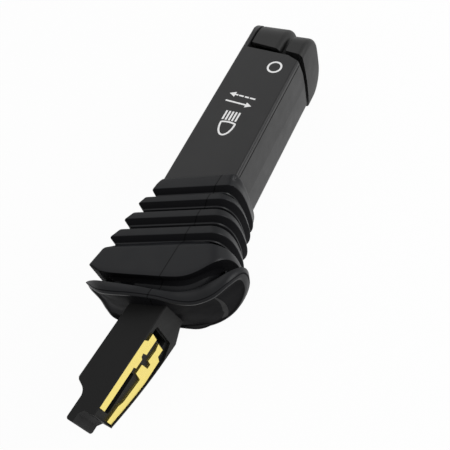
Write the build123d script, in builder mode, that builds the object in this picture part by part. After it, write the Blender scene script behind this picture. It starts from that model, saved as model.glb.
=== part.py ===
from build123d import *
import os
from math import cos, radians, sin, tan

os.makedirs("parts", exist_ok=True)

# Combination stalk switch: a column stalk that plugs in by its flat contact foot.
# Frame: origin at the middle of the foot's end tab, +Y along the handle to its tip,
# +Z out of the printed front face, +X to the right of it. All sizes in millimetres.

# ---------------------------------------------------------------- driving dimensions
# Handle, a straight two-shell tube
handle_width = 28.6
handle_depth = 33.6
handle_x = 0.9              # the handle's axis, beside the foot's end tab
mid_z = -3.4                # the middle of the handle's depth
handle_end_y = 171.1        # end of the shells, under the tip keys
end_slant = 3.7             # the shells end askew, lower on the right
shell_wall = 1.8
seam_drop = 2.6             # front cover's side height, down to the seam
seam_gap = 0.3
front_edge_r = 1.1
back_edge_r = 5.5
side_draft = 0.9            # the sides draw in this much towards the back face
screw_ys = (112.0, 148.0)
screw_core_r = 1.2
screw_head_r = 2.6
screw_depth = 8.0           # counterbore, from the back face to the screw's seat
boss_r = 3.4
boot_slant = 20.0           # the boot's folds lie across the handle at this angle

# Tip keys
key_gap = 2.8               # the dark line between the shells and the keys
key_slant = 7.0             # the keys' lower edges, askew like the shells' end
key_recess = 0.2            # the keys' front lies this far under the cover's
key_wall = 1.6
cheek_width = 2.4           # the shells' left cheek beside the button
cheek_gap = 1.0
groove = 2.6                # between the button and the rocker
button_height = 20.9        # of the button and the cheek, past the shells' end
button_dome = 12.0          # the part of it that the domed top takes
button_corner_r = 3.0
button_travel = 1.2
rocker_width = 8.1
rocker_height = 16.9
rocker_dome = 10.0
rocker_corner_r = 2.6
rocker_bulge = 0.4          # of the rocker's side past the shells' side
rocker_pin_drop = 7.6       # pin below the shells' end
rocker_pin_r = 1.5
dome_front_z = 9.4          # the domed top's depth at the front and at the back
dome_back_z = 14.2

# Contact foot
foot_lean = 6.0             # the foot leans this far from the handle's line
foot_right = 6.9
foot_left = 6.8
foot_front_z = 7.8
foot_back_z = 15.2          # at the boot end; the back curves in towards the tab
foot_middle_back_z = 13.5
foot_tab_back_z = 8.2
foot_taper_from = 6.0
foot_taper_middle = 26.7
foot_taper_to = 43.5
foot_shoulder_rise = 6.0    # from there the back slants forward to the boot
foot_shoulder_in = 5.0
pocket_rim = 0.7            # wall left behind the pocket
tab_half = 1.5
tab_end_r = 1.0
strip_thickness = 0.8
pocket_depth = 1.2
pocket_top = 42.0
pocket_low = 5.6

# Boot, one rubber moulding, by its ring planes: S across, H along the slanted axis
boot_wall = 1.6
boot_half_z = 18.1          # the folds' half depth about the handle's middle
fold_in = 1.8               # depth of the folds' grooves at the front and back
fold_right_in = 2.6
fold_band_h = 2.6           # height of each fold's outer band
fold_shelf = 4.9            # the level shelf on each fold's left
collar_top_h = 93.6
collar_ledge_h = 89.6       # the shells end on this ledge inside the collar
crests = ((88.5, 16.7, 52.3), (82.3, 12.0, 51.2), (75.0, 7.5, 50.5), (67.3, 3.2, 50.3))
valleys = ((85.4, 19.1), (78.4, 15.4), (71.0, 11.3), (64.6, 6.5))
block_top_h = 62.6
block_bulge_h = 55.2        # the block's widest height, and its left side there
block_bulge_left = -2.9
bend_s = 30.0               # lowest point of the bent mounting flange
bend_h = 44.8               # height of the flange's upper face there, at its front edge
bend_left_r = 114.0
bend_right_r = 35.0
flange_tilt = 0.10          # the flange rises this much per millimetre towards the back
flange_thickness = 4.4
flange_left = -2.0
flange_right = 57.0
flange_low_z = -22.0
flange_high_z = 17.4
flange_crown_s = 15.0       # its front edge bulges here, then draws in to a waist
flange_side_z = 13.9
flange_waist_s = 41.0
flange_waist_z = 12.8
flange_waist_half = 8.0
flange_front_r = 5.0
flange_left_r = 4.0
flange_back_r = 13.0
neck_left = 2.6
neck_right = 49.0
neck_half_z = 15.0
neck_wall = 2.0
groove_width = 4.8
plate_inset = 0.6           # the carrier plate's face above the flange's under face
plate_thickness = 2.6

# Pivots
pivot_x = handle_x
turn_y = 66.0               # turn-signal pivot, axis along X
beam_y = 77.0               # main-beam pivot, axis along Z
pin_r = 2.0
block_half_x = 6.0
block_half_z = 7.0
ear_r = 6.0
ear_thickness = 3.6
detent_tip_y = 54.5
plunger_r = 1.8

# Clearances
running = 0.05              # pins turning in bores
sliding = 0.2               # keys, plungers and inner moulded parts
side_play = 0.3             # between faces that swing past each other

# ---------------------------------------------------------------- frames
half_depth = handle_depth / 2
front_z = mid_z + half_depth
back_z = mid_z - half_depth
seam_z = front_z - seam_drop
left_x = handle_x - handle_width / 2
right_x = handle_x + handle_width / 2
key_low_y = handle_end_y + key_gap
button_top_y = handle_end_y + button_height
rocker_top_y = handle_end_y + rocker_height
rocker_pin_y = handle_end_y - rocker_pin_drop
ring_across = Vector(cos(radians(boot_slant)), sin(radians(boot_slant)), 0)
ring_axis = Vector(-sin(radians(boot_slant)), cos(radians(boot_slant)), 0)
foot_up = Vector(sin(radians(foot_lean)), cos(radians(foot_lean)), 0)
foot_out = Vector(cos(radians(foot_lean)), -sin(radians(foot_lean)), 0)
foot_front = Plane(origin=(0, 0, 0), x_dir=foot_out, z_dir=(0, 0, 1))
boot_side = Plane(origin=(0, 0, 0), x_dir=ring_across, z_dir=(0, 0, 1))


def cross_section(y):
    """Plane across the handle at y, with local X and Z as the row's own."""
    return Plane(origin=(handle_x, y, mid_z), x_dir=(1, 0, 0), z_dir=(0, -1, 0))


def foot_side(u):
    """Plane along the foot's side at distance u from its middle: local X up the foot."""
    return Plane(origin=foot_out * u, x_dir=foot_up, z_dir=foot_out)


def ring(h):
    """Plane of one boot ring at height h along the slanted axis."""
    return Plane(origin=ring_axis * h, x_dir=ring_across, z_dir=-ring_axis)


def save(builder, name):
    """Label a finished piece and write its file."""
    builder.part.label = name
    export_step(builder.part, "parts/" + name + ".step")


def ring_face(h, left, right, half_z, corner=1.0, right_corner=6.0, bulge=2.6):
    """A boot section in the ring plane at height h: square on the left, bulged on the right."""
    with BuildSketch(ring(h)) as face:
        with BuildLine():
            Polyline((right - bulge, mid_z + half_z), (left, mid_z + half_z),
                     (left, mid_z - half_z), (right - bulge, mid_z - half_z))
            ThreePointArc((right - bulge, mid_z - half_z), (right, mid_z),
                          (right - bulge, mid_z + half_z))
        make_face()
        fillet(vertices().group_by(Axis.X)[0], corner)
        fillet(vertices().group_by(Axis.X)[-1], right_corner)
    return face.sketch


def oval(h):
    """The flange's outline in the ring plane at height h: waisted in front, rounder behind."""
    with BuildSketch(ring(h)) as face:
        with BuildLine():
            ThreePointArc((flange_left, flange_side_z), (flange_crown_s, flange_high_z),
                          (flange_waist_s - flange_waist_half, flange_side_z))
            ThreePointArc((flange_waist_s - flange_waist_half, flange_side_z),
                          (flange_waist_s, flange_waist_z),
                          (flange_waist_s + flange_waist_half, flange_side_z))
            Polyline((flange_waist_s + flange_waist_half, flange_side_z),
                     (flange_right, flange_side_z), (flange_right, flange_low_z),
                     (flange_left, flange_low_z), (flange_left, flange_side_z))
        make_face()
        fillet(vertices().group_by(Axis.X)[-1].sort_by(Axis.Y)[0], flange_back_r)
        fillet(vertices().group_by(Axis.X)[-1].sort_by(Axis.Y)[-1], flange_front_r)
        fillet(vertices().group_by(Axis.X)[0], flange_left_r)
    return face.sketch


def handle_section(y, grow=0.0):
    """The handle's closed section at y, moved outwards by grow."""
    half_width = handle_width / 2 + grow
    high = half_depth + grow
    with BuildSketch(cross_section(y)) as face:
        with BuildLine():
            Polyline((-half_width, high), (half_width, high), (half_width, 0),
                     (half_width - side_draft, -high), (side_draft - half_width, -high),
                     (-half_width, 0), (-half_width, high))
        make_face()
        fillet(vertices().group_by(Axis.Y)[-1], max(front_edge_r + grow, 0.2))
        fillet(vertices().group_by(Axis.Y)[0], back_edge_r + grow)
    return face.sketch


def askew_y(x, y, slant):
    """Height at x of an oblique line that crosses the handle's axis at y."""
    return y - (x - handle_x) * tan(radians(slant))


def past(y, slant, left):
    """The region past an oblique line across the handle, from left on."""
    right = right_x + 10
    with BuildSketch(Plane.XY.offset(back_z - 10)) as face:
        with BuildLine():
            Polyline((left, askew_y(left, y, slant)), (right, askew_y(right, y, slant)),
                     (right, y + 60), (left, y + 60), (left, askew_y(left, y, slant)))
        make_face()
    return face.sketch


def domed(top_y, length, inset=0.0):
    """Side profile of the tip: straight front and back, closed by two quarter ellipses."""
    low_y = top_y - 130
    start_y = top_y - length
    front = front_z - inset
    back = back_z + inset
    with BuildSketch(Plane.YZ.offset(left_x - 5)) as face:
        with BuildLine():
            Polyline((start_y, front), (low_y, front), (low_y, back), (start_y, back))
            EllipticalCenterArc((start_y, back + dome_back_z), length, dome_back_z,
                                start_angle=-90, arc_size=90)
            Line((top_y, back + dome_back_z), (top_y, front - dome_front_z))
            EllipticalCenterArc((start_y, front - dome_front_z), length, dome_front_z, arc_size=90)
        make_face()
    return face.sketch


def bend(h_offset, below):
    """The region under (or over) the flange's bent line, moved by h_offset, from the side."""
    low = bend_h + h_offset + flange_tilt * (flange_high_z + 40)
    with BuildSketch(boot_side.offset(-40)) as face:
        with BuildLine():
            left = JernArc((bend_s, low), (-1, 0), bend_left_r - h_offset, -24)
            right = JernArc((bend_s, low), (1, 0), bend_right_r - h_offset, 58)
            edge = -40 if below else 140
            Polyline(left @ 1, ((left @ 1).X - 30, (left @ 1).Y + 10), ((left @ 1).X - 30, edge),
                     ((right @ 1).X + 30, edge), ((right @ 1).X + 30, (right @ 1).Y + 30), right @ 1)
        make_face()
    return face.sketch


flange_dir = Vector(0, 0, 1) - ring_axis * flange_tilt

# ================================================================ handle shells
# Both shells' foot end follows the boot's slant and stands on the collar's ledge.
shell_low_h = collar_ledge_h + 0.1
handle_low_y = 80.0
shell_length = button_top_y - handle_low_y
core_half_x = 7.0
core_half_z = 6.0
board_z = mid_z + 1.0
board_thickness = 1.2
shell_boss_high_zs = (mid_z - core_half_z, board_z)
cover_boss_low_zs = (mid_z + core_half_z, board_z + board_thickness)
cheek_right = left_x + cheek_width
key_space = past(handle_end_y, end_slant, cheek_right)
tip_outline = domed(button_top_y, button_dome)
dip_start = Vector(right_x - 5.8, askew_y(right_x - 5.8, handle_end_y, end_slant), front_z)
dip_across = Vector(5.8, -2.5, 0)
dip_down = Vector(5.8, -0.4, -9.4)
with BuildSketch(Plane.XY.offset(seam_z)) as over_seam:
    with Locations((handle_x, handle_low_y)):
        Rectangle(2 * handle_width, 3 * shell_length)
with BuildSketch(Plane.XY.offset(seam_z - seam_gap)) as under_seam:
    with Locations((handle_x, handle_low_y)):
        Rectangle(2 * handle_width, 3 * shell_length)
with BuildSketch(ring(shell_low_h)) as boot_end:
    Rectangle(200, 200)
with BuildSketch(Plane(origin=dip_start, z_dir=dip_across.cross(dip_down))) as corner_dip:
    Circle(12.0)

# ---- front cover: the printed tray
with BuildPart() as front_cover:
    extrude(handle_section(handle_low_y), amount=-shell_length)
    extrude(handle_section(handle_low_y, -shell_wall), amount=-shell_length, mode=Mode.SUBTRACT)
    extrude(over_seam.sketch, amount=handle_depth, mode=Mode.INTERSECT)
    extrude(tip_outline, amount=2 * handle_width, mode=Mode.INTERSECT)
    extrude(key_space, amount=2 * handle_depth, mode=Mode.SUBTRACT)
    extrude(corner_dip.sketch, amount=8, mode=Mode.SUBTRACT)
    extrude(boot_end.sketch, amount=60, mode=Mode.SUBTRACT)
    for y, low_z in zip(screw_ys, cover_boss_low_zs):
        with BuildSketch(Plane.XY.offset(low_z)):
            with Locations((handle_x, y)):
                Circle(boss_r - 0.8)
        extrude(amount=front_z - shell_wall / 2 - low_z)
        with BuildSketch(Plane.XY.offset(low_z)):
            with Locations((handle_x, y)):
                Circle(screw_core_r)
        extrude(amount=front_z - shell_wall - low_z, mode=Mode.SUBTRACT)
save(front_cover, "front_cover")

# ---- rear shell: the deep trough with bosses and board ribs
rib_ys = (124.0, 140.0)
rib_low_z = back_z + shell_wall / 2
with BuildPart() as rear_shell:
    extrude(handle_section(handle_low_y), amount=-shell_length)
    extrude(handle_section(handle_low_y, -shell_wall), amount=-shell_length, mode=Mode.SUBTRACT)
    extrude(under_seam.sketch, amount=-2 * handle_depth, mode=Mode.INTERSECT)
    extrude(tip_outline, amount=2 * handle_width, mode=Mode.INTERSECT)
    extrude(key_space, amount=2 * handle_depth, mode=Mode.SUBTRACT)
    extrude(corner_dip.sketch, amount=8, mode=Mode.SUBTRACT)
    extrude(boot_end.sketch, amount=60, mode=Mode.SUBTRACT)
    for y in rib_ys:
        with BuildSketch(cross_section(y)):
            with Locations((0, (rib_low_z + board_z) / 2 - mid_z)):
                Rectangle(handle_width - shell_wall, board_z - rib_low_z)
            fillet(vertices().group_by(Axis.Y)[0], back_edge_r - shell_wall / 2)
        extrude(amount=-1.4)
    for y, high_z in zip(screw_ys, shell_boss_high_zs):
        with BuildSketch(Plane.XY.offset(rib_low_z)):
            with Locations((handle_x, y)):
                Circle(boss_r)
        extrude(amount=high_z - rib_low_z)
    with Locations(*[(handle_x, y, back_z) for y in screw_ys]):
        with Locations(Rotation(180, 0, 0)):
            CounterBoreHole(screw_core_r + 0.3, screw_head_r + 0.2, screw_depth,
                            depth=board_z - back_z)
save(rear_shell, "rear_shell")

# ---- shell screws: from the back, through the shell and into the cover's bosses
with BuildPart() as shell_screws:
    head_z = back_z + screw_depth
    with BuildSketch(Plane.XY.offset(head_z - 2.0)):
        with Locations(*[(handle_x, y) for y in screw_ys]):
            Circle(screw_head_r)
            RegularPolygon(1.3, 6, mode=Mode.SUBTRACT)
    extrude(amount=1.2)
    with BuildSketch(Plane.XY.offset(head_z - 0.8)):
        with Locations(*[(handle_x, y) for y in screw_ys]):
            Circle(screw_head_r)
    extrude(amount=0.8)
    with BuildSketch(Plane.XY.offset(head_z)):
        with Locations(*[(handle_x, y) for y in screw_ys]):
            Circle(screw_core_r - 0.02)
    extrude(amount=front_z - shell_wall - 0.5 - head_z)
save(shell_screws, "shell_screws")

# ================================================================ contact foot
pocket_floor = foot_right - pocket_depth


def back_at(v):
    """The foot's back face, as a positive depth, at distance v up the foot: a parabola."""
    low_slope = (foot_middle_back_z - foot_tab_back_z) / (foot_taper_middle - foot_taper_from)
    high_slope = (foot_back_z - foot_middle_back_z) / (foot_taper_to - foot_taper_middle)
    curve = (high_slope - low_slope) / (foot_taper_to - foot_taper_from)
    return (foot_tab_back_z + low_slope * (v - foot_taper_from)
            + curve * (v - foot_taper_from) * (v - foot_taper_middle))


# ---- foot housing: leaning blade, end tab, pedestal and the turn pivot's ears
pedestal_half = block_half_x + side_play + ear_thickness
pedestal_half_z = 8.0
pedestal_low_y = 46.0
pedestal_top_y = 50.0
with BuildPart() as foot_housing:
    with BuildSketch(foot_front.offset(-foot_back_z)):
        with BuildLine():
            Polyline((-foot_left, 60), (-foot_left, 13.8), (-5.9, 12.7), (-3.7, 11.6))
            TangentArc((-3.7, 11.6), (-tab_half, 8.6), tangent=(2.2, -1.1))
            Line((-tab_half, 8.6), (-tab_half, tab_end_r))
            RadiusArc((-tab_half, tab_end_r), (-tab_half + tab_end_r, 0), -tab_end_r)
            Line((-tab_half + tab_end_r, 0), (tab_half - tab_end_r, 0))
            RadiusArc((tab_half - tab_end_r, 0), (tab_half, tab_end_r), -tab_end_r)
            Polyline((tab_half, tab_end_r), (tab_half, 3.4), (2.9, 5.2), (foot_right, 5.4),
                     (foot_right, 60), (-foot_left, 60))
        make_face()
    extrude(amount=foot_back_z + foot_front_z)
    with BuildSketch(foot_side(-20)):
        with BuildLine():
            Line((-10, -foot_tab_back_z), (foot_taper_from, -foot_tab_back_z))
            ThreePointArc((foot_taper_from, -foot_tab_back_z),
                          (foot_taper_middle, -foot_middle_back_z), (foot_taper_to, -foot_back_z))
            Polyline((foot_taper_to, -foot_back_z),
                     (foot_taper_to + foot_shoulder_rise, foot_shoulder_in - foot_back_z),
                     (foot_taper_to + 30, foot_shoulder_in - foot_back_z),
                     (foot_taper_to + 30, -foot_back_z - 5), (-10, -foot_back_z - 5),
                     (-10, -foot_tab_back_z))
        make_face()
    extrude(amount=40, mode=Mode.SUBTRACT)
    long_edges = foot_housing.edges().filter_by(Axis((0, 0, 0), foot_up)).group_by(Axis.Z)[-1]
    fillet(long_edges.sort_by(SortBy.LENGTH)[-2:], 0.5)
    extrude(bend(plate_inset - flange_thickness - running, below=False), amount=85,
            dir=flange_dir, mode=Mode.SUBTRACT)
    with BuildSketch(foot_side(pocket_floor)):
        with BuildLine():
            pocket_edge = [(v, pocket_rim - back_at(v))
                           for v in (pocket_low, pocket_top / 2, pocket_top - 6)]
            ThreePointArc(*pocket_edge)
            Polyline(pocket_edge[2], (pocket_top, -10.6), (pocket_top, 4.6),
                     (pocket_top - 3.4, foot_front_z - 0.6), (pocket_low, foot_front_z - 0.6),
                     pocket_edge[0])
        make_face()
    extrude(amount=pocket_depth + 1, mode=Mode.SUBTRACT)
    with BuildSketch(foot_side(pocket_floor - 4.0)):
        with Locations((16.5, 0)):
            RectangleRounded(16.0, 4.4, 0.8)
        with Locations((40.2, -3.0)):
            Rectangle(2.6, 12.0)
    extrude(amount=5.0, mode=Mode.SUBTRACT)
    with BuildSketch(Plane.XZ.offset(-pedestal_low_y)):
        with Locations((pivot_x, mid_z)):
            Rectangle(2 * pedestal_half, 2 * pedestal_half_z)
    extrude(amount=-(pedestal_top_y - pedestal_low_y))
    for ear_low_x in (pivot_x - pedestal_half, pivot_x + pedestal_half - ear_thickness):
        with BuildSketch(Plane.YZ.offset(ear_low_x)):
            with Locations(((turn_y + pedestal_top_y) / 2 - 0.5, mid_z)):
                Rectangle(turn_y - pedestal_top_y + 1, 2 * ear_r)
            with Locations((turn_y, mid_z)):
                Circle(ear_r)
                Circle(pin_r, mode=Mode.SUBTRACT)
        extrude(amount=ear_thickness)
save(foot_housing, "foot_housing")

# ---- contact strips: two stamped strips lying on the pocket's floor
with BuildPart() as contact_strip_front:
    with BuildSketch(foot_side(pocket_floor)):
        with BuildLine():
            Polyline((8.5, 7.0), (35.2, 7.0), (36.2, 3.9), (39.2, 3.9), (38.9, -0.9), (32.4, -0.7),
                     (31.9, 2.0), (30.6, 1.7), (30.1, 0.2), (26.4, 0.2), (26.0, 2.2), (24.6, 2.0),
                     (8.5, 2.3), (8.5, 7.0))
        make_face()
    extrude(amount=strip_thickness)
save(contact_strip_front, "contact_strip_front")

with BuildPart() as contact_strip_rear:
    with BuildSketch(foot_side(pocket_floor)):
        with BuildLine():
            Polyline((6.3, -3.4), (12.6, -4.1), (14.8, -5.6), (24.5, -6.9), (25.1, -1.8),
                     (28.8, -1.9), (29.2, -7.2), (31.1, -7.3), (31.3, -4.4), (36.0, -4.9),
                     (38.4, -3.8), (38.2, -9.2), (35.1, -9.1), (34.3, -11.8), (24.2, -11.8),
                     (19.9, -11.0), (12.8, -9.1), (6.3, -7.2), (6.3, -3.4))
        make_face()
    extrude(amount=strip_thickness)
save(contact_strip_rear, "contact_strip_rear")

# ---- detent cam: a hard-wearing insert between the ears, hollow about the turn pivot
cam_r = turn_y - detent_tip_y + side_play
cam_half_z = 7.0
with BuildPart() as detent_cam:
    with BuildSketch(Plane.YZ.offset(pivot_x - block_half_x)):
        with Locations((pedestal_top_y + 3.5, mid_z)):
            Rectangle(7.0, 2 * cam_half_z)
        with Locations((turn_y, mid_z)):
            Circle(cam_r, mode=Mode.SUBTRACT)
        with Locations((turn_y, mid_z)):
            with PolarLocations(cam_r, 3, start_angle=170, angular_range=20, endpoint=True):
                Circle(0.9, mode=Mode.SUBTRACT)
    extrude(amount=2 * block_half_x)
save(detent_cam, "detent_cam")

# ---- turn pin: fixed in both ears, headed on the left
with BuildPart() as turn_pin:
    with BuildSketch(Plane.YZ.offset(pivot_x - pedestal_half - 0.6)):
        with Locations((turn_y, mid_z)):
            Circle(pin_r + 1.0)
    extrude(amount=0.6)
    with BuildSketch(Plane.YZ.offset(pivot_x - pedestal_half)):
        with Locations((turn_y, mid_z)):
            Circle(pin_r)
    extrude(amount=2 * pedestal_half + 0.6)
save(turn_pin, "turn_pin")

# ================================================================ pivot block
plunger_seat_y = 62.4
# ---- pivot block: rocks on the turn pin and carries the main-beam pin
with BuildPart() as pivot_block:
    with BuildSketch(Plane.XY.offset(mid_z - block_half_z)):
        with Locations((pivot_x, (turn_y + beam_y) / 2 - 5)):
            Rectangle(2 * block_half_x, beam_y - turn_y + 10)
        with Locations((pivot_x, beam_y)):
            Circle(block_half_x)
        with Locations((pivot_x, beam_y)):
            with PolarLocations(block_half_x + 0.3, 2, start_angle=84, angular_range=6, endpoint=True):
                Circle(0.8, mode=Mode.SUBTRACT)
            Circle(pin_r, mode=Mode.SUBTRACT)
    extrude(amount=2 * block_half_z)
    with BuildSketch(Plane.YZ.offset(pivot_x - block_half_x)):
        with Locations(((turn_y + beam_y + block_half_x) / 2, mid_z)):
            Rectangle(beam_y + block_half_x - turn_y, 2 * block_half_z)
        with Locations((turn_y, mid_z)):
            Circle(turn_y - detent_tip_y - 1.8)
    extrude(amount=2 * block_half_x, mode=Mode.INTERSECT)
    with BuildSketch(Plane.YZ.offset(pivot_x - block_half_x)):
        with Locations((turn_y, mid_z)):
            Circle(pin_r + running)
    extrude(amount=2 * block_half_x, mode=Mode.SUBTRACT)
    with BuildSketch(Plane.XZ.offset(-plunger_seat_y)):
        with Locations((pivot_x, mid_z)):
            Circle(plunger_r + running)
    extrude(amount=10, mode=Mode.SUBTRACT)
save(pivot_block, "pivot_block")

# ---- main-beam pin: fixed in the pivot block, turning in the lever's fork
fork_low_z = block_half_z + side_play
fork_high_z = fork_low_z + 3.0
with BuildPart() as beam_pin:
    with BuildSketch(Plane.XY.offset(mid_z - fork_high_z)):
        with Locations((pivot_x, beam_y)):
            Circle(pin_r - 0.01)
    extrude(amount=2 * fork_high_z)
save(beam_pin, "beam_pin")


def plunger(tip_y, length):
    """A sprung detent plunger on the handle's axis, its round tip pointing at the foot."""
    with BuildPart() as body:
        with BuildSketch(Plane.XY.offset(mid_z)):
            with BuildLine():
                Line((pivot_x, tip_y), (pivot_x, tip_y + length))
                Polyline((pivot_x, tip_y + length), (pivot_x + plunger_r, tip_y + length),
                         (pivot_x + plunger_r, tip_y + plunger_r))
                RadiusArc((pivot_x + plunger_r, tip_y + plunger_r), (pivot_x, tip_y), plunger_r)
            make_face()
        revolve(axis=Axis((pivot_x, 0, mid_z), (0, 1, 0)))
    return body


def coil(x, y, z, length, radius, wire_r, turns):
    """A closed-end compression spring standing along Y from the point x, y, z."""
    with BuildPart() as body:
        with BuildLine() as path:
            Helix(pitch=(length - 2 * wire_r) / turns, height=length - 2 * wire_r, radius=radius,
                  center=(x, y + wire_r, z), direction=(0, 1, 0))
        with BuildSketch(Plane(origin=path.line @ 0, z_dir=path.line % 0)):
            Circle(wire_r)
        sweep(path=path.line, is_frenet=True)
    return body


# ---- turn plunger and its spring, in the pivot block's tail
turn_plunger = plunger(detent_tip_y, 4.6)
save(turn_plunger, "turn_plunger")
turn_spring = coil(pivot_x, detent_tip_y + 4.6, mid_z, plunger_seat_y - detent_tip_y - 4.6,
                   1.3, 0.22, 4)
save(turn_spring, "turn_spring")

# ================================================================ lever core
web_low_y = beam_y + block_half_x + 0.9
web_high_y = web_low_y + 4.1
core_high_y = 120.0
beam_tip_y = beam_y + block_half_x + side_play
beam_seat_y = 95.0
lead_xs = (handle_x - 4.4, handle_x + 4.4)
# ---- lever core: fork over the pivot block, then a bar clamped between the shells
with BuildPart() as lever_core:
    with BuildSketch(Plane.XY.offset(mid_z - fork_high_z)):
        with Locations((pivot_x, (beam_y + web_high_y) / 2)):
            Rectangle(2 * block_half_x, web_high_y - beam_y)
        with Locations((pivot_x, beam_y)):
            Circle(block_half_x)
            Circle(pin_r + running, mode=Mode.SUBTRACT)
    extrude(amount=2 * fork_high_z)
    with BuildSketch(Plane.YZ.offset(pivot_x - block_half_x)):
        with Locations(((beam_y - 10 + web_low_y) / 2, mid_z)):
            Rectangle(web_low_y - beam_y + 10, 2 * fork_low_z)
    extrude(amount=2 * block_half_x, mode=Mode.SUBTRACT)
    with BuildSketch(Plane.XZ.offset(-web_low_y - 4)):
        with Locations((handle_x, mid_z)):
            Rectangle(2 * core_half_x, 2 * core_half_z)
    extrude(amount=-(core_high_y - web_low_y - 4))
    with BuildSketch(Plane.XY.offset(mid_z - core_half_z)):
        with Locations((handle_x, screw_ys[0])):
            Circle(screw_core_r + 0.3)
    extrude(amount=2 * core_half_z, mode=Mode.SUBTRACT)
    with BuildSketch(Plane.XZ.offset(-beam_seat_y)):
        with Locations((pivot_x, mid_z)):
            Circle(plunger_r + running)
    extrude(amount=20, mode=Mode.SUBTRACT)
    with BuildSketch(Plane.XZ.offset(-web_high_y)):
        with Locations(*[(x, mid_z + core_half_z) for x in lead_xs]):
            Rectangle(1.6, 2.6)
    extrude(amount=-(core_high_y - web_high_y), mode=Mode.SUBTRACT)
save(lever_core, "lever_core")

beam_plunger = plunger(beam_tip_y, 5.0)
save(beam_plunger, "beam_plunger")
beam_spring = coil(pivot_x, beam_tip_y + 5.0, mid_z, beam_seat_y - beam_tip_y - 5.0,
                   1.3, 0.22, 5)
save(beam_spring, "beam_spring")

# ================================================================ inside the handle
board_high_y = handle_end_y - 13.1
board_low_y = 121.0
inner_half = handle_width / 2 - shell_wall
# ---- circuit board: lies on the rear shell's ribs
with BuildPart() as circuit_board:
    with BuildSketch(Plane.XY.offset(board_z)):
        with Locations((handle_x, (board_low_y + board_high_y) / 2)):
            RectangleRounded(2 * inner_half - 2, board_high_y - board_low_y, 1.5)
        with Locations((handle_x, screw_ys[1])):
            Circle(screw_core_r + 0.3, mode=Mode.SUBTRACT)
    extrude(amount=board_thickness)
save(circuit_board, "circuit_board")

# ---- resistors that code the switch positions, on the board
with BuildPart() as code_resistors:
    with BuildSketch(Plane.XY.offset(board_z + board_thickness)):
        with Locations((handle_x, 131.0)):
            with GridLocations(4.4, 5.0, 3, 2):
                Rectangle(3.2, 1.6)
    extrude(amount=0.6)
save(code_resistors, "code_resistors")

# ---- lead connector: stands on the board's foot end
lead_r = 0.6
lead_z = mid_z + core_half_z - lead_r
connector_length = 5.0
with BuildPart() as lead_connector:
    with BuildSketch(Plane.XY.offset(board_z + board_thickness)):
        with Locations((handle_x, board_low_y + 0.4 + connector_length / 2)):
            Rectangle(12.0, connector_length)
    extrude(amount=lead_z + 1.4 - board_z - board_thickness)
save(lead_connector, "lead_connector")

# ---- leads: two wires from the connector down the grooves of the lever core
with BuildPart() as leads:
    with BuildSketch(Plane.XZ.offset(-web_high_y - 1)):
        with Locations(*[(x, lead_z) for x in lead_xs]):
            Circle(lead_r)
    extrude(amount=-(board_low_y + 0.4 - web_high_y - 1))
save(leads, "leads")

# ---- tip frame: holds the button's guide and the rocker's ears
frame_low_y = handle_end_y - 12.5
frame_high_y = handle_end_y - 1.4
frame_right = right_x - shell_wall - sliding
button_left = cheek_right + cheek_gap
button_width = handle_width - cheek_width - cheek_gap - groove - rocker_width
button_x = button_left + button_width / 2
rocker_left = right_x - rocker_width
rocker_x = right_x - rocker_width / 2
stem_half = 3.6
tongue_width = 4.0
tongue_half_z = 3.5
tongue_x = rocker_left + tongue_width / 2
pin_left = tongue_x - tongue_width / 2 - 3.0
guide_floor_y = frame_low_y + 1.2
stem_low_y = handle_end_y - 5.1
nib_half = 1.4
rocker_spring_y = handle_end_y - 5.6
rocker_spring_z = 7.6
rocker_spring_r = 1.5
spring_wire_r = 0.22
rocker_spring_top_y = askew_y(tongue_x + rocker_spring_r + spring_wire_r, key_low_y, key_slant)
with BuildPart() as tip_frame:
    extrude(handle_section(frame_low_y, -shell_wall - sliding), amount=frame_low_y - frame_high_y)
    with BuildSketch(cross_section(guide_floor_y)):
        with Locations((button_x - handle_x, 0)):
            Rectangle(2 * stem_half + 2 * sliding, 2 * stem_half + 2 * sliding)
        with Locations((tongue_x - handle_x, 0)):
            Rectangle(tongue_width + 2 * side_play, 2 * tongue_half_z + 2.8)
    extrude(amount=-20, mode=Mode.SUBTRACT)
    with BuildSketch(cross_section(rocker_spring_y)):
        with Locations((tongue_x - handle_x, -rocker_spring_z), (tongue_x - handle_x, rocker_spring_z)):
            Circle(rocker_spring_r + 0.5)
    extrude(amount=-20, mode=Mode.SUBTRACT)
    with BuildSketch(cross_section(frame_low_y)):
        with Locations((button_x - handle_x, 0)):
            Rectangle(4.0, 4.0)
    extrude(amount=-20, mode=Mode.SUBTRACT)
    with BuildSketch(Plane.YZ.offset(pin_left)):
        with Locations((rocker_pin_y, mid_z)):
            Circle(rocker_pin_r)
    extrude(amount=20, mode=Mode.SUBTRACT)
save(tip_frame, "tip_frame")

# ---- rocker pin: fixed in the tip frame's ears
with BuildPart() as rocker_pin:
    with BuildSketch(Plane.YZ.offset(pin_left)):
        with Locations((rocker_pin_y, mid_z)):
            Circle(rocker_pin_r)
    extrude(amount=frame_right - sliding - pin_left)
save(rocker_pin, "rocker_pin")

# ---- switch bodies under the keys, soldered to the board's tip end
switch_length = 4.8
switch_width = 6.4
switch_high_y = board_high_y - 0.2
switch_xs = (button_x, right_x - shell_wall - 2 * sliding - switch_width / 2)
with BuildPart() as key_switches:
    with BuildSketch(Plane.XY.offset(board_z + board_thickness)):
        with Locations(*[(x, switch_high_y - switch_length / 2) for x in switch_xs]):
            Rectangle(switch_width, switch_length)
    extrude(amount=4.0)
save(key_switches, "key_switches")

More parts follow.
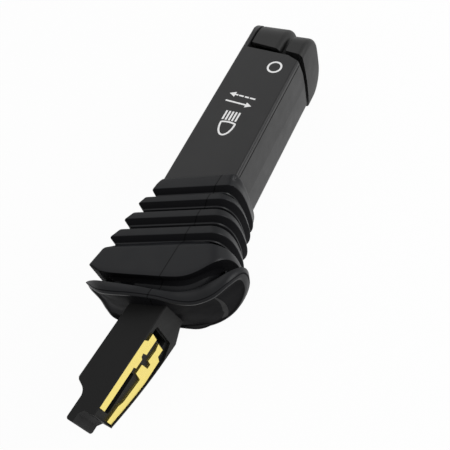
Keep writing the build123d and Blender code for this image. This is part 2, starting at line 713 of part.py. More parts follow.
# ================================================================ tip keys
# ---- push button: a closed cap with a guide stem that reaches its switch
stem_high_y = button_top_y - key_wall / 2
with BuildPart() as button_hollow:
    with BuildSketch(cross_section(key_low_y - 5)):
        with Locations((button_x - handle_x, 0)):
            Rectangle(button_width - 2 * key_wall, handle_depth)
    extrude(amount=-button_height)
    extrude(domed(button_top_y - key_wall, button_dome, key_recess + key_wall),
            amount=2 * handle_width, mode=Mode.INTERSECT)
with BuildPart() as push_button:
    with BuildSketch(Plane.XY.offset(back_z)):
        with Locations((button_x, (key_low_y + button_top_y) / 2)):
            Rectangle(button_width, button_top_y - key_low_y + 10)
    extrude(amount=handle_depth)
    extrude(past(key_low_y, key_slant, left_x), amount=3 * handle_depth, mode=Mode.INTERSECT)
    extrude(domed(button_top_y, button_dome, key_recess), amount=2 * handle_width,
            mode=Mode.INTERSECT)
    top_right = push_button.edges().filter_by(Axis.Z).group_by(Axis.Y)[-1].sort_by(Axis.X)[-1]
    fillet(top_right, button_corner_r)
    add(button_hollow.part, mode=Mode.SUBTRACT)
    with BuildSketch(cross_section(stem_low_y)):
        with Locations((button_x - handle_x, 0)):
            Rectangle(2 * stem_half, 2 * stem_half)
    extrude(amount=stem_low_y - stem_high_y)
    with BuildSketch(cross_section(switch_high_y + button_travel + sliding)):
        with Locations((button_x - handle_x, 0)):
            Rectangle(2 * nib_half, 2 * nib_half)
    extrude(amount=-(stem_low_y - switch_high_y - button_travel - sliding))
save(push_button, "push_button")

# ---- return springs: one round the button's nib, two under the rocker
button_spring = coil(button_x, guide_floor_y, mid_z, stem_low_y - guide_floor_y, 2.5, 0.25, 4)
save(button_spring, "button_spring")
with BuildPart() as rocker_springs:
    for side in (-1, 1):
        add(coil(tongue_x, rocker_spring_y, mid_z + side * rocker_spring_z,
                 rocker_spring_top_y - rocker_spring_y, rocker_spring_r, spring_wire_r, 5).part)
save(rocker_springs, "rocker_springs")

# ---- tip rocker: wraps the right side, tilts about the pin between the frame's ears
with BuildPart() as tip_rocker:
    with BuildSketch(cross_section(key_low_y - 5)):
        with BuildLine():
            Polyline((right_x - handle_x, half_depth), (rocker_left - handle_x, half_depth),
                     (rocker_left - handle_x, -half_depth),
                     (right_x - side_draft - handle_x, -half_depth))
            ThreePointArc((right_x - side_draft - handle_x, -half_depth),
                          (right_x + rocker_bulge - handle_x, 0), (right_x - handle_x, half_depth))
        make_face()
    extrude(amount=key_low_y - 5 - rocker_top_y)
    extrude(past(key_low_y, key_slant, left_x), amount=3 * handle_depth, mode=Mode.INTERSECT)
    extrude(domed(rocker_top_y, rocker_dome, key_recess), amount=2 * handle_width,
            mode=Mode.INTERSECT)
    top_right = tip_rocker.edges().group_by(Axis.Y)[-1].sort_by(Axis.X)[-1]
    fillet(top_right, rocker_corner_r)
    with BuildSketch(Plane.YZ.offset(tongue_x - tongue_width / 2)):
        with Locations(((rocker_pin_y + key_low_y + 2) / 2, mid_z)):
            Rectangle(key_low_y + 2 - rocker_pin_y, 2 * tongue_half_z)
        with Locations((rocker_pin_y, mid_z)):
            Circle(tongue_half_z)
            Circle(rocker_pin_r + running, mode=Mode.SUBTRACT)
    extrude(amount=tongue_width)
save(tip_rocker, "tip_rocker")

# ================================================================ boot
first_right = crests[0][2]
last_right = crests[-1][2]
valley_half_z = boot_half_z - fold_in
collar_low_h = valleys[0][0] + side_play / 2

# ---- boot collar: the first fold, which grips the shells' foot end
collar_wall = 1.0
collar_left = 18.8
collar_right = 51.2
with BuildPart() as handle_seat:
    extrude(handle_section(handle_low_y), amount=-30)
    with BuildSketch(ring(collar_ledge_h)):
        Rectangle(200, 200)
    extrude(amount=60, mode=Mode.SUBTRACT)
with BuildPart() as boot_collar:
    loft([ring_face(collar_top_h, collar_left, collar_right, half_depth + collar_wall),
          ring_face(collar_top_h - 2.2, 17.6, first_right - 0.3, boot_half_z - 0.3),
          ring_face(*crests[0], boot_half_z),
          ring_face(collar_low_h, valleys[0][1], first_right - fold_right_in, valley_half_z)],
         ruled=True)
    add(handle_seat.part, mode=Mode.SUBTRACT)
    extrude(ring_face(collar_ledge_h + 1, valleys[0][1] + boot_wall,
                      first_right - fold_right_in - boot_wall, valley_half_z - boot_wall),
            amount=10, mode=Mode.SUBTRACT)
save(boot_collar, "boot_collar")

# ---- boot folds: the bellows between the collar and the lower block
fold_rows = []
for (valley_h, valley_left), (crest_h, crest_left, crest_right) in zip(valleys, crests[1:]):
    valley_right = crest_right - fold_right_in
    fold_rows.append((valley_h, valley_left, valley_right, valley_half_z))
    fold_rows.append((valley_h - 0.5, valley_left - fold_shelf, valley_right + 1.0, boot_half_z))
    fold_rows.append((crest_h, crest_left, crest_right, boot_half_z))
fold_rows.append((valleys[-1][0], valleys[-1][1], last_right - fold_right_in, valley_half_z))
fold_rows[0] = (valleys[0][0] - side_play / 2,) + fold_rows[0][1:]
with BuildPart() as boot_folds:
    loft([ring_face(*row) for row in fold_rows], ruled=True)
    inner_rows = [(h, left + boot_wall, right - boot_wall, half_z - boot_wall)
                  for h, left, right, half_z in fold_rows]
    inner_rows[0] = (fold_rows[0][0] + 1,) + inner_rows[0][1:]
    inner_rows[-1] = (fold_rows[-1][0] - 1,) + inner_rows[-1][1:]
    loft([ring_face(*row, right_corner=5.0) for row in inner_rows], ruled=True,
         mode=Mode.SUBTRACT)
save(boot_folds, "boot_folds")

# ---- mounting flange: a bent oval lip, rising towards the back
with BuildPart() as flange_band:
    extrude(bend(0, below=True), amount=85, dir=flange_dir)
    extrude(bend(-flange_thickness, below=True), amount=85, dir=flange_dir, mode=Mode.SUBTRACT)
    extrude(oval(90), amount=80, mode=Mode.INTERSECT)

# ---- boot base: lower block, neck and mounting flange
base_top_h = valleys[-1][0] - side_play
block_right = last_right + 1.3
floor_thickness = 2.0
with BuildPart() as block_hollow:
    loft([ring_face(base_top_h + 1, valleys[-1][1] + boot_wall,
                    last_right - fold_right_in - boot_wall, valley_half_z - boot_wall),
          ring_face(block_top_h - boot_wall, 2.8, block_right - boot_wall, boot_half_z - boot_wall),
          ring_face(48.0, block_bulge_left + 4.2, block_right - boot_wall,
                    boot_half_z - boot_wall)], ruled=True)
    extrude(bend(groove_width + floor_thickness, below=True), amount=85, dir=flange_dir,
            mode=Mode.SUBTRACT)
with BuildPart() as boot_base:
    loft([ring_face(base_top_h, valleys[-1][1], last_right - fold_right_in, valley_half_z),
          ring_face(block_top_h, 1.2, block_right, boot_half_z),
          ring_face(block_bulge_h, block_bulge_left, block_right + 1.0, boot_half_z + 0.2),
          ring_face(40.0, block_bulge_left + 8.0, block_right + 1.0, boot_half_z + 0.2)],
         ruled=True)
    extrude(bend(groove_width, below=True), amount=85, dir=flange_dir, mode=Mode.SUBTRACT)
    extrude(ring_face(60.0, neck_left, neck_right, neck_half_z, 4.0, 4.0), amount=22)
    extrude(bend(-flange_thickness, below=True), amount=85, dir=flange_dir, mode=Mode.SUBTRACT)
    add(flange_band.part)
    extrude(ring_face(70.0, neck_left + neck_wall, neck_right - neck_wall,
                      neck_half_z - neck_wall, 3.0, 3.0),
            amount=40, mode=Mode.SUBTRACT)
    add(block_hollow.part, mode=Mode.SUBTRACT)
save(boot_base, "boot_base")

# ---- carrier plate: stiff plate on the foot's shoulder, bent like the flange round it
with BuildPart() as carrier_plate:
    plate_edge = neck_wall + sliding
    extrude(ring_face(90.0, neck_left + plate_edge, neck_right - plate_edge,
                      neck_half_z - plate_edge, 2.8, 2.8),
            amount=80)
    extrude(bend(plate_inset + plate_thickness - flange_thickness, below=False), amount=85,
            dir=flange_dir, mode=Mode.SUBTRACT)
    extrude(bend(plate_inset - flange_thickness, below=True), amount=85, dir=flange_dir,
            mode=Mode.SUBTRACT)
    with BuildSketch(Plane.XZ):
        with Locations((pivot_x, mid_z)):
            Rectangle(2 * pedestal_half + 2 * sliding, 2 * pedestal_half_z + 2 * sliding)
    extrude(amount=-80, mode=Mode.SUBTRACT)
save(carrier_plate, "carrier_plate")
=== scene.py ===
"""Column stalk switch: the looks of each piece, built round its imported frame."""

from math import cos, pi, radians, sin

import bmesh
import bpy
import numpy as np
from mathutils import Matrix, Vector


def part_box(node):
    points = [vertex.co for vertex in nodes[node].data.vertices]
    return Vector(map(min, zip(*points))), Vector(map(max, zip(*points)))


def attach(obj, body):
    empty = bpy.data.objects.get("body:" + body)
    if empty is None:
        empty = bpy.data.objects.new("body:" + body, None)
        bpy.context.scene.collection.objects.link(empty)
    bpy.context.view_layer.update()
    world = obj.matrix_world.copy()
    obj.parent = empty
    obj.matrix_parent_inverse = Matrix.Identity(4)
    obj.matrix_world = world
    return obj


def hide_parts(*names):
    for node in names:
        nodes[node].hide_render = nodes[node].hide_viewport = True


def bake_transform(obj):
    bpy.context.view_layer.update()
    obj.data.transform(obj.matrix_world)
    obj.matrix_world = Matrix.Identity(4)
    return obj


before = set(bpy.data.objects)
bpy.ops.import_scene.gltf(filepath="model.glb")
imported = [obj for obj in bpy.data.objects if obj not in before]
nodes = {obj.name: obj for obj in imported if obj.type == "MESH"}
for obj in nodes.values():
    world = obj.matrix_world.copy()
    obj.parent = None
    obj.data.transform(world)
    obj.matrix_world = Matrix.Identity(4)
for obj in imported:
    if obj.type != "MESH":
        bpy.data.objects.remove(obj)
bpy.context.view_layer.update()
mm = 0.001

# ------------------------------------------------------------------ handle shells
# Two injection-moulded halves in black glass-filled plastic, spark-eroded to a very
# fine grain. The front cover is a shallow tray; the rear shell is the deep trough.


def new_material(name):
    """An empty node material, with its output node."""
    material = bpy.data.materials.new(name)
    material.use_nodes = True
    tree = material.node_tree
    tree.nodes.clear()
    output = tree.nodes.new("ShaderNodeOutputMaterial")
    return material, tree, output


def new_group(name, inputs, outputs):
    """An empty shader node group with named inputs (name, kind, value) and outputs."""
    group = bpy.data.node_groups.new(name, "ShaderNodeTree")
    for label, kind, value in inputs:
        socket = group.interface.new_socket(name=label, in_out="INPUT", socket_type=kind)
        if value is not None:
            socket.default_value = value
    for label, kind in outputs:
        group.interface.new_socket(name=label, in_out="OUTPUT", socket_type=kind)
    return group, group.nodes.new("NodeGroupInput"), group.nodes.new("NodeGroupOutput")


def math_node(tree, operation, first, second):
    """A math node joining two sockets, or a socket and a number."""
    node = tree.nodes.new("ShaderNodeMath")
    node.operation = operation
    for socket, value in zip(node.inputs, (first, second)):
        if isinstance(value, (int, float)):
            socket.default_value = value
        else:
            tree.links.new(value, socket)
    return node.outputs[0]


# Moulded grain: a fine cell pattern pressed in by the eroded tool, with soft
# variation of gloss over a few millimetres where hands have polished it.
grain, grain_in, grain_out = new_group(
    "moulded_grain",
    [("Grain Scale", "NodeSocketFloat", 3000.0), ("Grain Depth", "NodeSocketFloat", 0.2),
     ("Low Gloss", "NodeSocketFloat", 0.4), ("High Gloss", "NodeSocketFloat", 0.5),
     ("Dark", "NodeSocketColor", None), ("Light", "NodeSocketColor", None)],
    [("Color", "NodeSocketColor"), ("Roughness", "NodeSocketFloat"),
     ("Normal", "NodeSocketVector")])
place = grain.nodes.new("ShaderNodeTexCoord").outputs["Object"]
pits = grain.nodes.new("ShaderNodeTexNoise")
pits.inputs["Detail"].default_value = 3.0
pits.inputs["Roughness"].default_value = 0.6
clouds = grain.nodes.new("ShaderNodeTexNoise")
clouds.inputs["Scale"].default_value = 140.0
clouds.inputs["Detail"].default_value = 4.0
bump = grain.nodes.new("ShaderNodeBump")
bump.inputs["Distance"].default_value = 0.00005
gloss = grain.nodes.new("ShaderNodeMapRange")
gloss.inputs["From Min"].default_value = 0.3
gloss.inputs["From Max"].default_value = 0.7
tint = grain.nodes.new("ShaderNodeMix")
tint.data_type = "RGBA"
grain.links.new(place, pits.inputs["Vector"])
grain.links.new(place, clouds.inputs["Vector"])
grain.links.new(grain_in.outputs["Grain Scale"], pits.inputs["Scale"])
grain.links.new(grain_in.outputs["Grain Depth"], bump.inputs["Strength"])
grain.links.new(pits.outputs["Fac"], bump.inputs["Height"])
grain.links.new(clouds.outputs["Fac"], gloss.inputs["Value"])
grain.links.new(grain_in.outputs["Low Gloss"], gloss.inputs["To Min"])
grain.links.new(grain_in.outputs["High Gloss"], gloss.inputs["To Max"])
grain.links.new(clouds.outputs["Fac"], tint.inputs["Factor"])
grain.links.new(grain_in.outputs["Dark"], tint.inputs["A"])
grain.links.new(grain_in.outputs["Light"], tint.inputs["B"])
grain.links.new(tint.outputs["Result"], grain_out.inputs["Color"])
grain.links.new(gloss.outputs["Result"], grain_out.inputs["Roughness"])
grain.links.new(bump.outputs["Normal"], grain_out.inputs["Normal"])


def grained(name, dark, light, low_gloss, high_gloss, scale=3000.0, depth=0.2, **fixed):
    """A moulded finish: the grain group's colour, gloss and normal on a Principled shader."""
    material, tree, output = new_material(name)
    shader = tree.nodes.new("ShaderNodeBsdfPrincipled")
    skin = tree.nodes.new("ShaderNodeGroup")
    skin.node_tree = grain
    skin.inputs["Grain Scale"].default_value = scale
    skin.inputs["Grain Depth"].default_value = depth
    skin.inputs["Low Gloss"].default_value = low_gloss
    skin.inputs["High Gloss"].default_value = high_gloss
    skin.inputs["Dark"].default_value = (*dark, 1.0)
    skin.inputs["Light"].default_value = (*light, 1.0)
    tree.links.new(skin.outputs["Color"], shader.inputs["Base Color"])
    tree.links.new(skin.outputs["Roughness"], shader.inputs["Roughness"])
    tree.links.new(skin.outputs["Normal"], shader.inputs["Normal"])
    tree.links.new(shader.outputs["BSDF"], output.inputs["Surface"])
    for label, value in fixed.items():
        shader.inputs[label.replace("_", " ")].default_value = value
    return material


def wear(material, *names):
    """Give CAD nodes this material, on their own mesh's slots."""
    for name in names:
        mesh = nodes[name].data
        mesh.materials.clear()
        mesh.materials.append(material)


def reworked(mesh, work):
    """Puts a mesh through a step of bmesh work."""
    shape = bmesh.new()
    shape.from_mesh(mesh)
    work(shape)
    shape.to_mesh(mesh)
    shape.free()


def flat_piece(name, points, faces, material):
    """A closed piece on the lever from points in millimetres and faces."""
    mesh = bpy.data.meshes.new(name)
    mesh.from_pydata(points * mm, [], faces)
    reworked(mesh, lambda shape: bmesh.ops.recalc_face_normals(shape, faces=shape.faces))
    mesh.materials.append(material)
    piece = bpy.data.objects.new(name, mesh)
    bpy.context.scene.collection.objects.link(piece)
    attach(piece, "lever")


handle_black = grained("handle_black", (0.012, 0.012, 0.0125), (0.016, 0.016, 0.0165), 0.36, 0.44,
                       Specular_IOR_Level=0.22)
wear(handle_black, "front_cover", "rear_shell")

# Along the seam the shells' edges are relieved, and the shade in that gap is painted as one black
# line: a strip of painted shadow. It follows the sides, a hair proud of them, from the boot to the
# tip keys.
painted_seam_shadow = grained("painted_seam_shadow", (0.001, 0.001, 0.001), (0.002, 0.002, 0.002), 0.9, 1.0,
                     Specular_IOR_Level=0.0)
seam_z, seam_half, proud = 10.65, 0.27, 0.012


def seam_shadow_strip(name, side_x, low_y, high_y):
    """A thin closed strip of painted shadow along a side of the shells at the seam's height."""
    outwards = proud * np.sign(side_x)
    x = side_x + outwards * np.array([1, 1, -1, -1])
    z = seam_z + seam_half * np.array([-1, 1, 1, -1])
    corners = np.stack([np.column_stack([x, np.full(4, y), z]) for y in (low_y, high_y)])
    sides = [(k, k + 4, (k + 1) % 4 + 4, (k + 1) % 4) for k in range(4)]
    flat_piece(name, corners.reshape(-1, 3), [(0, 1, 2, 3), (7, 6, 5, 4)] + sides,
               painted_seam_shadow)


seam_shadow_strip("seam_right", 15.2, 104.5, 168.0)
seam_shadow_strip("seam_left", -13.4, 92.0, 180.0)

# ------------------------------------------------------------------ printed symbols
# White pad print on the front cover: a ring, a pair of lever arrows, and a headlamp sign of
# a D with five rays. The ink stands a few hundredths of a millimetre off the plastic.
print_white = grained("print_white", (0.84, 0.84, 0.84), (0.90, 0.90, 0.90), 0.45, 0.6,
                      scale=5000.0, depth=0.1)
cover_face_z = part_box("front_cover")[1].z / mm
ink_low, ink_high = cover_face_z - 0.02, cover_face_z + 0.05


def inked(name, strips, closed=False):
    """Flat printed strokes as one piece. Each is (middle line, width): the line's points are
    moved half the width to both sides, and given the ink's lower and upper height."""
    vertices, faces, count = [], [], 0
    for line, width in strips:
        line = np.array(line, float)
        if closed:
            way = np.roll(line, -1, 0) - np.roll(line, 1, 0)
        else:
            way = np.gradient(line, axis=0)
        way /= np.linalg.norm(way, axis=1, keepdims=True)
        half = np.broadcast_to(width, len(line))[:, None] / 2
        side = np.stack([-way[:, 1], way[:, 0]], 1) * half
        rails = [np.column_stack([line + sign * side, np.full(len(line), height)])
                 for sign, height in ((1, ink_low), (-1, ink_low), (-1, ink_high), (1, ink_high))]
        index = count + np.arange(4 * len(line)).reshape(4, -1).T
        course = np.concatenate([index, index[:1]]) if closed else index
        ring = np.concatenate([course, course[:, :1]], 1)
        quads = np.stack([ring[:-1, :-1], ring[:-1, 1:], ring[1:, 1:], ring[1:, :-1]], -1)
        faces += quads.reshape(-1, 4).tolist()
        if not closed:
            faces += [index[0, ::-1].tolist(), index[-1].tolist()]
        vertices.append(np.concatenate(rails))
        count += 4 * len(line)
    flat_piece(name, np.concatenate(vertices), faces, print_white)


stroke, shaft_width, ring_width = 0.8, 0.75, 0.85
head, head_width, head_tip = 2.7, 2.8, 0.08


def arrow(tail, tip, runs):
    """An arrow's strokes: its shaft in runs measured from the tail, and its pointed head."""
    tail, tip = np.array(tail), np.array(tip)
    length = np.linalg.norm(tip - tail)
    way = (tip - tail) / length
    strokes = [([tail + way * start, tail + way * min(end, length - head)], shaft_width)
               for start, end in runs]
    return strokes + [([tail + way * (length - head), tip], (head_width, head_tip))]


turn = np.linspace(0, 2 * pi, 60, endpoint=False)
ring_x, ring_y, ring_radius = 6.5, 162.5, 2.95
ring_line = np.stack([ring_x + ring_radius * np.cos(turn), ring_y + ring_radius * np.sin(turn)], 1)
inked("symbol_ring", [(ring_line, ring_width)], closed=True)
inked("symbol_arrow_left", arrow((5.9, 143.3), (-6.4, 144.2),
                                 ((0.0, 2.5), (3.05, 4.95), (5.55, 7.8), (8.2, 12.0))))
inked("symbol_arrow_right", arrow((-6.5, 140.1), (5.8, 139.3), ((0.0, 12.0),)))
inked("symbol_rays", [([(x, 134.9), (x - 0.1, 130.0)], stroke) for x in np.linspace(-3.2, 2.8, 5)])
bow = np.linspace(0, pi, 40)
lid = np.linspace(-3.2, 3.2, 12)[1:-1]
lamp_x, lamp_y, lamp_half = 0.05, 128.7, 3.25
lamp_line = np.concatenate([
    np.stack([lamp_x + lamp_half * np.cos(bow), lamp_y - 6.4 * np.sin(bow)], 1),
    np.stack([lid, lamp_y + 0.5 * (1 - (lid / lamp_half) ** 2)], 1)])
inked("symbol_lamp", [(lamp_line, stroke)], closed=True)

# ------------------------------------------------------------------ tip keys
# The button and the rocker are moulded apart in a slightly greyer plastic.
key_grey = grained("key_grey", (0.012, 0.012, 0.012), (0.017, 0.017, 0.017), 0.42, 0.5,
                   Specular_IOR_Level=0.2)
wear(key_grey, "push_button", "tip_rocker")

# ------------------------------------------------------------------ rubber boot
# One rubber moulding on a slant: a cuff round the shells, three open folds, a solid block
# and a hollow mounting lip. It is cut here where its parts follow different hinges.
slant = radians(20.0)
across = np.array([cos(slant), sin(slant), 0.0])
along = np.array([-sin(slant), cos(slant), 0.0])
upward = np.array([0.0, 0.0, 1.0])
boot_mid_z = -3.4
nose_steps, corner_steps, side_steps, ease_steps, rim_steps = 61, 7, 30, 5, 12


def placed(s, h, z):
    """Points in metres from distances across, along and above the boot's slanted axis."""
    return (s[..., None] * across + h[..., None] * along + z[..., None] * upward) * mm


def fold_outline(left, right, half, left_r, nose, power):
    """Once round a boot section: a blunt nose on the right, the half of a superellipse of
    that power which is nose long and half high, straight sides, and two arcs on the left."""
    angle = pi / 2 * np.linspace(-1, 1, nose_steps)
    end = np.stack([right - nose + nose * np.abs(np.cos(angle)) ** (2 / power),
                    half * np.sign(angle) * np.abs(np.sin(angle)) ** (2 / power)], 1)
    turn = pi / 2 * np.linspace(0, 1, corner_steps)[:, None]
    corner = left_r * np.concatenate([np.cos(turn), np.sin(turn)], 1)
    middle = np.array([left + left_r, half - left_r])
    front_corner = middle + corner[::-1] * (-1, 1)
    back_corner = front_corner[::-1] * (1, -1)
    share = np.linspace(0, 1, side_steps + 2)[1:-1, None]
    course = []
    for part, following in ((end, front_corner), (front_corner, back_corner), (back_corner, end)):
        course += [part, part[-1] + (following[0] - part[-1]) * share]
    return np.concatenate(course)


def eased(rows):
    """Rows of sizes with each row's own ease (last number) as the share of the way to its
    neighbours over which the line turns, on a quadratic curve."""
    rows = np.array(rows, float)
    sizes, ease = rows[:, :-1], rows[:, -1]
    out = []
    for k in range(len(rows)):
        before, after = sizes[max(k - 1, 0)], sizes[min(k + 1, len(rows) - 1)]
        if ease[k] == 0 or k in (0, len(rows) - 1):
            out.append(sizes[k:k + 1])
            continue
        start = sizes[k] + (before - sizes[k]) * ease[k]
        end = sizes[k] + (after - sizes[k]) * ease[k]
        t = np.linspace(0, 1, ease_steps)[:, None]
        out.append(start * (1 - t) ** 2 + 2 * sizes[k] * t * (1 - t) + end * t ** 2)
    return np.concatenate(out)


def grid_piece(name, grid):
    """A rubber piece from a grid of points, joined round each row, and last row to first."""
    rows, columns = grid.shape[:2]
    index = np.arange(rows * columns).reshape(rows, columns)
    index = np.concatenate([index, index[:, :1]], 1)
    index = np.concatenate([index, index[:1]], 0)
    quads = np.stack([index[:-1, :-1], index[:-1, 1:], index[1:, 1:], index[1:, :-1]], -1)
    mesh = bpy.data.meshes.new(name)
    mesh.from_pydata(grid.reshape(-1, 3), [], quads.reshape(-1, 4))
    mesh.polygons.foreach_set("use_smooth", np.ones(len(mesh.polygons), bool))
    mesh.materials.append(boot_black)
    piece = bpy.data.objects.new(name, mesh)
    bpy.context.scene.collection.objects.link(piece)
    shade_below(piece)
    return piece


def ring_grid(rows):
    """Grid of points from rows (h, left, right, half, left_r, nose, power)."""
    sections = np.stack([fold_outline(*row[1:]) for row in rows])
    height = np.broadcast_to(rows[:, :1], sections.shape[:2])
    return sections[..., 0], height.copy(), sections[..., 1] + boot_mid_z


def inside(rows, wall):
    """The same rows in reverse order, drawn in by the wall."""
    rows = rows[::-1].copy()
    rows[:, 1] += wall
    rows[:, 2] -= wall
    rows[:, 3] -= wall
    return rows


def fold_rows(valley, crest, next_valley):
    """One fold from groove to groove: shelf out, flat band, underside, thin step, groove."""
    valley_h, valley_left = valley
    crest_h, crest_left, crest_right = crest
    next_h, next_left = next_valley
    groove_right, groove_half = crest_right - 3.6, fold_half - 3.1
    return [
        (valley_h, valley_left + 0.5, groove_right, groove_half, 1.2, 7.0, 2.5, 0.2),
        (valley_h - 0.45, valley_left - 4.9, crest_right - 0.7, fold_half - 0.1, 1.2, 8.5, 2.5,
         0.10),
        (crest_h, crest_left, crest_right, fold_half, 1.0, 8.5, 2.5, 0.15),
        (crest_h - 1.9, crest_left + 1.7, crest_right - 1.9, fold_half - 1.8, 1.0, 8.0, 2.5, 0.12),
        (crest_h - 2.6, crest_left + 1.9, crest_right - 2.0, fold_half - 1.85, 1.0, 8.0, 2.5, 0.15),
        (next_h + 0.5, next_left + 0.3, groove_right, groove_half, 1.2, 7.0, 2.5, 0.2)]


parting_x, parting_lean, parting_width, front_z = 0.00475, 0.05, 0.0003, 0.004


def parted(material):
    """Adds the mould's parting line to a material: a thin dark line in the plane
    x = parting x + lean y, on what faces the front."""
    tree = material.node_tree
    shader = next(node for node in tree.nodes if node.type == "BSDF_PRINCIPLED")
    skin = next(node for node in tree.nodes if node.type == "GROUP")
    spot = tree.nodes.new("ShaderNodeSeparateXYZ")
    tree.links.new(tree.nodes.new("ShaderNodeTexCoord").outputs["Object"], spot.inputs[0])
    leaning = math_node(tree, "MULTIPLY", spot.outputs["Y"], parting_lean)
    aside = math_node(tree, "SUBTRACT", spot.outputs["X"], leaning)
    aside = math_node(tree, "SUBTRACT", aside, parting_x)
    distance = math_node(tree, "ABSOLUTE", aside, 0.0)
    near = math_node(tree, "LESS_THAN", distance, parting_width / 2)
    front = math_node(tree, "GREATER_THAN", spot.outputs["Z"], front_z)
    line = math_node(tree, "MULTIPLY", near, front)
    mix = tree.nodes.new("ShaderNodeMix")
    mix.data_type = "RGBA"
    tree.links.new(line, mix.inputs["Factor"])
    tree.links.new(skin.outputs["Color"], mix.inputs["A"])
    mix.inputs["B"].default_value = (0.0005, 0.0005, 0.0005, 1.0)
    tree.links.new(mix.outputs["Result"], shader.inputs["Base Color"])
    rough = tree.nodes.new("ShaderNodeMix")
    tree.links.new(line, rough.inputs["Factor"])
    tree.links.new(skin.outputs["Roughness"], rough.inputs["A"])
    rough.inputs["B"].default_value = 1.0
    tree.links.new(rough.outputs["Result"], shader.inputs["Roughness"])


boot_black = grained("boot_black", (0.005, 0.0052, 0.006), (0.008, 0.0085, 0.010), 0.36, 0.46,
                     scale=1400.0, depth=0.10, Specular_IOR_Level=0.17)
# Painted shade: a darker, less reflective copy of the boot rubber, for faces under the folds and in
# the lip's hollow.
painted_underside_shade = grained("painted_underside_shade", (0.004, 0.004, 0.0045), (0.006, 0.006, 0.007), 0.62, 0.75,
                       scale=1400.0, depth=0.10, Specular_IOR_Level=0.05)
parted(boot_black)
parted(painted_underside_shade)


def shade_below(piece):
    """Gives faces that look down the boot's axis painted shade: a darker, less reflective copy of
    the rubber where shade falls under the folds."""
    mesh = piece.data
    mesh.materials.append(painted_underside_shade)
    normals = np.zeros(3 * len(mesh.polygons))
    mesh.polygons.foreach_get("normal", normals)
    facing = normals.reshape(-1, 3) @ along
    mesh.polygons.foreach_set("material_index", (facing < -0.35).astype(int))


fold_half = 18.1
wall = 1.5
crests = ((88.5, 16.7, 52.4), (82.3, 12.0, 52.1), (75.0, 7.5, 51.5), (67.3, 3.2, 50.7))
valleys = ((85.4, 19.1), (78.4, 15.4), (71.0, 11.3), (64.6, 6.5))

# The cuff grips the shells; its mouth stands a little open at the right front corner.
cuff_rows = eased([
    (93.0, 19.75, 51.0, 17.0, 1.0, 3.4, 5.0, 0.0),
    (93.9, 19.6, 51.3, 17.15, 1.2, 4.2, 3.8, 0.3),
    (93.4, 19.1, 51.9, 17.55, 1.4, 5.2, 3.0, 0.3),
    (91.4, 17.9, 52.2, 18.0, 1.4, 5.8, 2.7, 0.4),
    (crests[0][0], 16.7, crests[0][2], fold_half, 1.0, 6.0, 2.6, 0.15),
    (crests[0][0] - 1.9, 18.0, 50.4, fold_half - 1.8, 1.0, 6.0, 2.6, 0.12),
    (crests[0][0] - 2.6, 18.3, 50.3, fold_half - 1.85, 1.0, 6.0, 2.6, 0.15),
    (85.6, 19.6, 48.9, fold_half - 3.1, 1.2, 6.0, 2.6, 0.0),
    (86.2, 22.0, 46.5, 13.0, 1.2, 6.0, 2.6, 0.0),
    (89.5, 21.0, 47.6, 15.0, 1.2, 4.0, 4.0, 0.0),
    (90.0, 18.65, 49.6, 16.95, 1.0, 3.0, 7.0, 0.0)])
s, h, z = ring_grid(cuff_rows)
ajar = np.clip((s - 32.0) / 16.0, 0, 1) ** 2 * np.clip((h - 91.2) / 2.0, 0, 1)
z += 0.55 * ajar * (z > 8.0)
s += 0.35 * ajar
cuff = grid_piece("boot_cuff", placed(s, h, z))
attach(cuff, "lever")
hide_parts("boot_collar")

# The open folds: one piece above, and one of two folds below.
upper_rows = eased(fold_rows(valleys[0], crests[1], valleys[1]))
upper_rows = np.concatenate([upper_rows, inside(upper_rows, wall)])
upper = grid_piece("boot_upper_fold", placed(*ring_grid(upper_rows)))
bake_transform(upper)
lower_rows = eased(fold_rows(valleys[1], crests[2], valleys[2])[:-1]
                   + fold_rows(valleys[2], crests[3], valleys[3]))
lower_rows = np.concatenate([lower_rows, inside(lower_rows, wall)])
lower = grid_piece("boot_lower_folds", placed(*ring_grid(lower_rows)))
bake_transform(lower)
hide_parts("boot_folds")

# The block under the folds: its lower edge is cut to the lip's bend, and sweeps up at the
# right; its left end is drawn to a blunt edge.
edge_s = (-3.0, 0.4, 4.0, 12.7, 20.2, 27.0, 34.7, 40.5, 46.2, 50.6, 53.0)
edge_h = (54.0, 53.3, 52.0, 51.05, 50.4, 49.7, 49.3, 51.5, 55.6, 59.0, 60.6)
block_top_h = 62.5


def block_edge(s):
    """Height of the block's lower edge, through its measured points, smoothed over 3 mm."""
    near = np.linspace(-3.0, 3.0, 7)
    return np.mean([np.interp(s + shift, edge_s, edge_h) for shift in near], 0)


# share of the way down, left, right, half, left_r, nose, power, ease
block_rows = eased([
    (-0.26, 8.5, 46.5, fold_half - 3.4, 1.2, 7.0, 2.5, 0.0),
    (-0.22, 7.0, 47.2, fold_half - 2.0, 1.2, 7.0, 2.5, 0.2),
    (-0.03, 1.7, 50.9, fold_half - 0.25, 1.2, 9.0, 2.5, 0.15),
    (0.03, 1.1, 51.4, fold_half - 0.05, 1.2, 9.5, 2.5, 0.15),
    (0.40, -0.9, 51.8, fold_half, 1.2, 10.0, 2.5, 0.0),
    (0.80, -2.9, 52.0, fold_half + 0.1, 1.2, 10.0, 2.5, 0.12),
    (1.0, 1.4, 52.1, fold_half + 0.1, 2.0, 10.0, 2.5, 0.06),
    (0.97, 4.6, 48.6, fold_half - 3.4, 2.0, 9.0, 2.5, 0.2),
    (1.1, 6.0, 47.0, fold_half - 4.8, 2.0, 8.0, 2.5, 0.0),
    (1.5, 6.0, 47.0, fold_half - 4.8, 2.0, 8.0, 2.5, 0.0),
    (1.5, 7.5, 45.5, fold_half - 6.2, 2.0, 8.0, 2.5, 0.0),
    (-0.26, 10.0, 45.0, fold_half - 5.0, 1.2, 7.0, 2.5, 0.0)])
s, share, z = ring_grid(block_rows)
h = block_top_h + share * (block_edge(s) - block_top_h)
block = grid_piece("boot_block", placed(s, h, z))
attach(block, "root")
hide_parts("boot_base")

